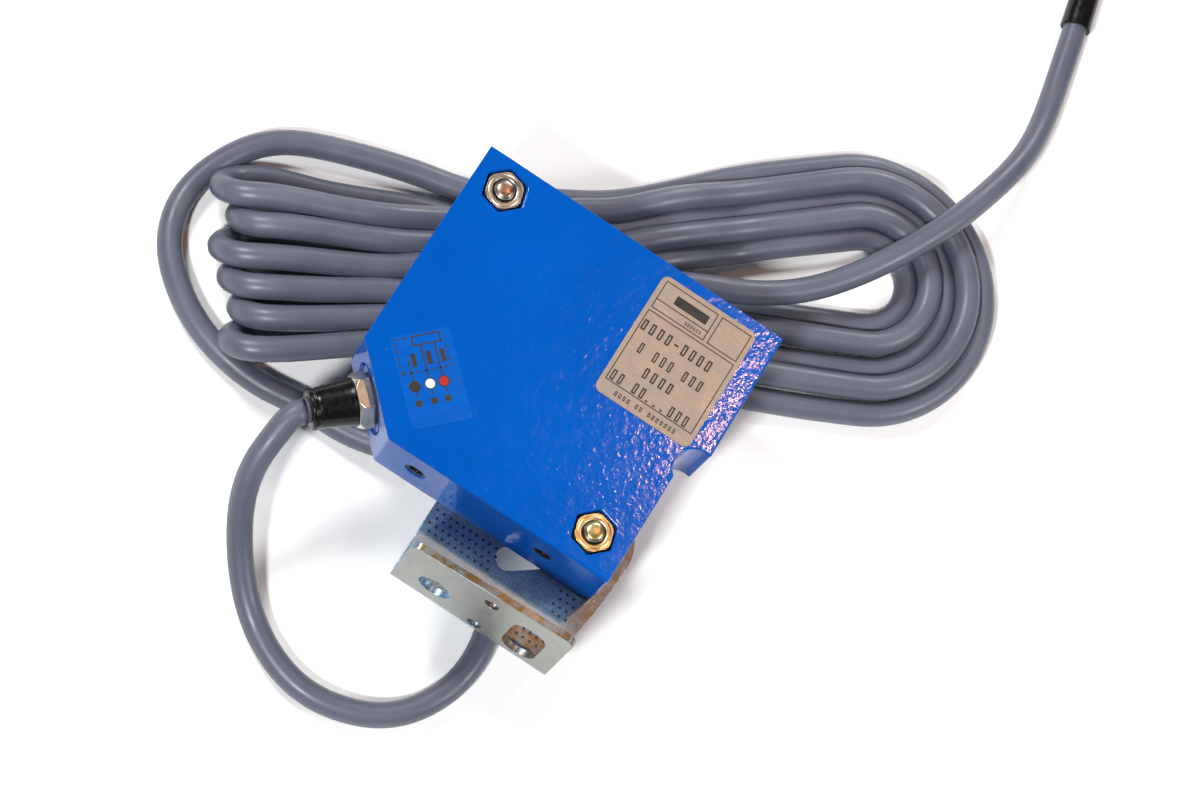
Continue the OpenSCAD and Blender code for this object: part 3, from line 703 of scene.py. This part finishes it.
def blocks_row(bm, place, start, y, pattern, pitch, size):
    """Row of small solid blocks in place of printed characters; a space leaves a gap."""
    for i, mark in enumerate(pattern):
        if mark == " ":
            continue
        x = start + i * pitch
        low = y + size[1] * 0.4 if mark == "-" else y
        if mark == "#":
            frame_lines(bm, place, (x, y), (x + size[0], y + size[1]), size[0] * 0.34)
        elif mark == "-":
            slab(bm, place, (x, low), (x + size[0], low + size[1] * 0.16), INK_T)
        else:
            slab(bm, place, (x, low), (x + size[0] * 0.5, low + size[1] * 0.18), INK_T)


def make_label_print(materials):
    """Printed boxes and rows of blocks on the name label."""
    low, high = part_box("name_label")
    place = Matrix.Translation(Vector(((low.x + high.x) / 2, (low.y + high.y) / 2, high.z)))

    def build(bm):
        frame_lines(bm, place, (-9.5, 6.4), (2.2, 12.6), LABEL_LINE)
        slab(bm, place, (-9.5, 8.3), (2.2, 8.3 + LABEL_LINE), INK_T)
        frame_lines(bm, place, (3.0, 6.4), (9.6, 12.6), LABEL_LINE)
        slab(bm, place, (-6.2, 9.3), (1.0, 11.2), INK_T)
        blocks_row(bm, place, -2.4, 7.0, "######", 0.62, (0.36, 0.7))
        frame_lines(bm, place, (-9.6, -10.6), (9.6, 5.8), LABEL_LINE)
        blocks_row(bm, place, -9.1, 1.5, "####-####", 1.78, (0.95, 2.3))
        blocks_row(bm, place, -7.3, -2.8, "# ### ###", 1.64, (0.8, 2.2))
        blocks_row(bm, place, -4.0, -6.5, "####", 1.75, (0.9, 2.2))
        blocks_row(bm, place, -9.0, -10.2, "## ##...###", 1.6, (0.85, 2.2))
        blocks_row(bm, place, -6.6, -12.5, "#### ## #######", 0.92, (0.5, 0.95))

    return mesh_object("label_print", build, materials["ink"])


DIAGRAM_TURN = math.radians(46)
FILM_DOTS = {"black": -3.4, "white": -0.4, "red": 2.25}
FILM_DOT_Y = -1.0


def diagram_place():
    """Middle of the wiring film, with Y up the printed diagram."""
    low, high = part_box("wiring_film")
    centre = Vector(((low.x + high.x) / 2, (low.y + high.y) / 2, high.z))
    return Matrix.Translation(centre) @ Matrix.Rotation(DIAGRAM_TURN, 4, "Z")


def dashes(bm, place, start, end, count, width):
    """Broken line with the given number of dashes."""
    across = abs(end[0] - start[0]) > abs(end[1] - start[1])
    half = (0, width / 2) if across else (width / 2, 0)
    for i in range(count):
        share = (i / count, (i + 0.62) / count)
        a, b = [[start[n] + (end[n] - start[n]) * t for n in (0, 1)] for t in share]
        low = (min(a[0], b[0]) - half[0], min(a[1], b[1]) - half[1])
        high = (max(a[0], b[0]) + half[0], max(a[1], b[1]) + half[1])
        slab(bm, place, low, high, INK_T)


def make_film_print(materials):
    """Wiring diagram without letters: a broken box, a small box, three leads and their dots."""
    place = diagram_place()
    line = 0.28
    left, right, low, top = -5.1, 4.3, 1.6, 8.3

    def build(bm):
        dashes(bm, place, (left, top), (-2.2, top), 2, line)
        dashes(bm, place, (left, low), (right, low), 7, line)
        dashes(bm, place, (left, low), (left, top), 5, line)
        dashes(bm, place, (right, low), (right, top - 2), 4, line)
        frame_lines(bm, place, (-1.9, 6.5), (3.7, 8.5), line)
        leads = {"black": 4.4, "white": 6.5, "red": 6.5}
        for colour, x in FILM_DOTS.items():
            slab(bm, place, (x - line / 2, FILM_DOT_Y + 1), (x + line / 2, leads[colour]), INK_T)
            slab(bm, place, (x - line / 2, FILM_DOT_Y - 2), (x + line / 2, FILM_DOT_Y - 1), INK_T)
            slab(bm, place, (x - 0.6, FILM_DOT_Y - 3.9), (x + 0.6, FILM_DOT_Y - 2.7), INK_T)
            slab(bm, place, (x + 0.6, 2.6), (x + 1.5, 5.2), INK_T)

    mesh_object("film_print", build, materials["ink"])
    for colour, x in FILM_DOTS.items():
        shift = place @ Matrix.Translation(Vector((x, FILM_DOT_Y, 0)) * MM)
        rim = [(1.1, 0), (1.1, 0.03), (1.04, 0.038), (0.5, 0.038)]
        mesh_object("film_rim_" + colour, lathe(rim, 32, shift), materials["ink"])
        dot = [(0.9, 0.03), (0.9, 0.045), (0.84, 0.055), (0.3, 0.055)]
        finish = "core_" + colour
        mesh_object("film_dot_" + colour, lathe(dot, 32, shift), materials[finish])


GLAND_MID = Vector((-28.5, 7, 0)) * MM
GLAND_AXIS = Vector((-1, -1, 0)).normalized()


def gland_place():
    """Maps a turned shape's +Z onto the gland's axis."""
    turn = Vector((0, 0, 1)).rotation_difference(GLAND_AXIS).to_matrix().to_4x4()
    return Matrix.Translation(GLAND_MID) @ turn


def make_boot(materials):
    """Rubber boot with a collar at each end, a waist between them and soft creases."""
    start, end = 2.6, 11.7
    profile = [(2.2, start)]
    steps = 40
    for i in range(steps + 1):
        share = i / steps
        height = start + 0.02 + (end - start - 0.04) * share
        radius = 3.85 + 0.75 * (1 - share) ** 1.6
        near_rim = math.exp(-(((share - 0.06) / 0.05) ** 2))
        far_rim = math.exp(-(((share - 0.93) / 0.06) ** 2))
        crease = math.exp(-(((share - 0.84) / 0.03) ** 2))
        radius += 0.06 * near_rim + 0.18 * far_rim - 0.14 * crease
        if i in (0, steps):
            radius -= 0.35
        profile.append((radius, height))
    profile.append((2.55, end))
    boot = mesh_object("cable_boot", lathe(profile, 56, gland_place()), materials["boot_rubber"])
    smooth_faces(boot)
    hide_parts("gland_boot")
    return boot


PLATE_TOP_Z = -8.05
FLANGE_INSIDE_Y = -15.4
DIMPLE_PITCH = 1.45


def turned_rings(name, profile, sides, places, material, body):
    """The same small turned shape at each of several places, as one piece."""

    def build(bm):
        for place in places:
            lathe(profile, sides, place)(bm)

    piece = mesh_object(name, build, material, body)
    smooth_faces(piece)
    return piece


def make_dimples(materials):
    """Rows of small raised rings, left by the press on the plate."""
    places = []
    for row in range(9):
        for column in range(22):
            shift = DIMPLE_PITCH / 2 * (row % 2)
            x = -6.4 + DIMPLE_PITCH * column + shift
            y = -12.8 + DIMPLE_PITCH * row
            over_slot = abs(x - 14.2) < 6.6 and y > -9.9
            # No dimples along the painted reflection band.
            on_reflection_band = abs(y + 7.4) < 0.9
            if x < 25 and not over_slot and not on_reflection_band:
                places.append(Matrix.Translation(Vector((x, y, PLATE_TOP_Z)) * MM))
    profile = [(0.34, -0.02), (0.31, 0.02), (0.25, 0.035), (0.19, 0.02), (0.14, 0.005)]
    # The rings get a near-black zinc as painted shade in the dimple hollows.
    turned_rings("plate_dimples", profile, 12, places, materials["shaded_dimple_zinc"], "bracket")


def make_nut_rings(materials):
    """Turned face of each nut and the domed, threaded screw end inside it."""
    face = [(3.3, -0.05), (3.25, 0.04), (2.95, 0.1), (2.6, 0.1), (2.36, 0.04), (2.25, -0.1)]
    thread = [(2.2, -0.4)]
    for turn in range(4):
        thread += [(2.16, -0.2 + 0.15 * turn), (1.98, -0.12 + 0.15 * turn)]
    dome = [(1.72, 0.3), (1.7, 0.74), (1.52, 0.86), (1.1, 0.98), (0.6, 1.04), (0.2, 1.05)]
    for nut, finish, end_finish in (
        ("upper_nut", "nut_zinc", "screw_copper"),
        ("lower_nut", "nut_yellow_zinc", "screw_yellow"),
    ):
        low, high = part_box(nut)
        place = Matrix.Translation(Vector(((low.x + high.x) / 2, (low.y + high.y) / 2, high.z)))
        turned_rings(nut + "_face", face, 48, [place], materials[finish], "root")
        # The thread ring between nut face and screw end is near-black as painted shade in the gap.
        turned_rings(nut + "_thread", thread, 48, [place], materials["thread_dark"], "root")
        turned_rings(nut + "_screw_end", dome, 40, [place], materials[end_finish], "root")


def make_tapped_threads(materials):
    """Thread ridges inside the two tapped holes in the long side face, near-black as painted shade in the holes."""
    mouth = Matrix.Rotation(math.radians(-90), 4, "X")
    ridges = 9
    pitch = 0.7
    profile = [(1.98, 0.35)]
    for i in range(ridges):
        profile += [(1.62, 0.35 + pitch * i + 0.25), (1.96, 0.35 + pitch * (i + 1) - 0.1)]
    profile.append((0.2, 0.35 + pitch * ridges))
    places = [Matrix.Translation(Vector((x, 0, 0)) * MM) @ mouth for x in (-14, 14)]

    def build(bm):
        for place in places:
            rings = []
            for radius, depth in profile:
                turns = [2 * math.pi * k / 36 for k in range(36)]
                around = [Vector((radius * math.cos(t), radius * math.sin(t), depth)) for t in turns]
                rings.append([bm.verts.new(place @ (point * MM)) for point in around])
            for first, second in zip(rings, rings[1:]):
                for k in range(36):
                    after = (k + 1) % 36
                    bm.faces.new((first[k], first[after], second[after], second[k]))
            bm.faces.new(rings[-1])

    mesh_object("tapped_threads", build, materials["thread_dark"])


# ---------------------------------------------------------------- stage


def make_stage(materials):
    data = bpy.data.meshes.new("floor")
    size = 4.0
    corners = [(-size, -size, 0), (size, -size, 0), (size, size, 0), (-size, size, 0)]
    data.from_pydata([(x, y, TABLE_Z * MM) for x, y, _ in corners], [], [(0, 1, 2, 3)])
    floor = add_object("floor", data)
    data.materials.append(materials["floor"])


def area_light(name, at, target, size, power, colour=(1, 1, 1)):
    data = bpy.data.lights.new(name, "AREA")
    data.shape = "SQUARE"
    data.size = size
    data.energy = power
    data.color = colour
    light = add_object(name, data)
    light.matrix_world = aimed(Vector(at), Vector(target), Vector((0, 1, 0.01)))


def make_lights():
    centre = (0.0, 0.05, 0)
    area_light("left_soft", (-0.7, 0.3, 0.85), centre, 0.25, 8)
    area_light("right_soft", (0.85, 0.1, 0.7), centre, 0.3, 5)
    area_light("rear_soft", (-0.1, 1.0, 0.45), centre, 0.3, 4)
    area_light("near_flash", (-0.15, -0.65, 0.9), centre, 0.12, 10.5)
    area_light("glare", (0.15, 0.42, 1.0), (0.025, 0.03, 0), 0.05, 0.9, (1.0, 0.5, 0.24))
    world = bpy.data.worlds.new("studio")
    world.use_nodes = True
    background = world.node_tree.nodes["Background"]
    background.inputs["Color"].default_value = (1, 1, 1, 1)
    background.inputs["Strength"].default_value = 0.05
    bpy.context.scene.world = world
    bpy.context.scene.view_settings.view_transform = "Standard"


# ---------------------------------------------------------------- assembly


def main():
    make_camera()
    cable, cable_points = make_cable()
    materials = make_materials()
    materials["ink"] = plain("ink", (0.010, 0.009, 0.010), (0.03, 0.026, 0.026), (0.4, 0.55), 800)
    # Dark zinc for the dimple rings: painted shade in the hollows.
    materials["shaded_dimple_zinc"] = plain(
        "shaded_dimple_zinc", (0.03, 0.05, 0.08), (0.08, 0.11, 0.15), (0.3, 0.45), 900, 0.0, 0.85
    )
    # Near-black thread metal: painted shade inside the tapped holes and nut bores.
    materials["thread_dark"] = plain(
        "thread_dark", (0.03, 0.03, 0.03), (0.09, 0.08, 0.07), (0.25, 0.4), 900, 0.0, 0.9
    )
    materials["screw_copper"] = nut_finish(
        "screw_copper", (0.24, 0.14, 0.10), (0.44, 0.28, 0.20), (0.62, 0.44, 0.34)
    )
    materials["screw_yellow"] = nut_finish(
        "screw_yellow", (0.40, 0.28, 0.10), (0.62, 0.46, 0.18), (0.80, 0.66, 0.34)
    )
    finish_piece(cable, materials["cable_grey"])
    paint_nodes(materials)
    for name, width in EDGE_ROUNDING.items():
        round_edges(nodes[name], width)
    make_boot(materials)
    make_label_print(materials)
    make_film_print(materials)
    make_dimples(materials)
    make_nut_rings(materials)
    make_tapped_threads(materials)
    make_stage(materials)
    make_lights()


main()
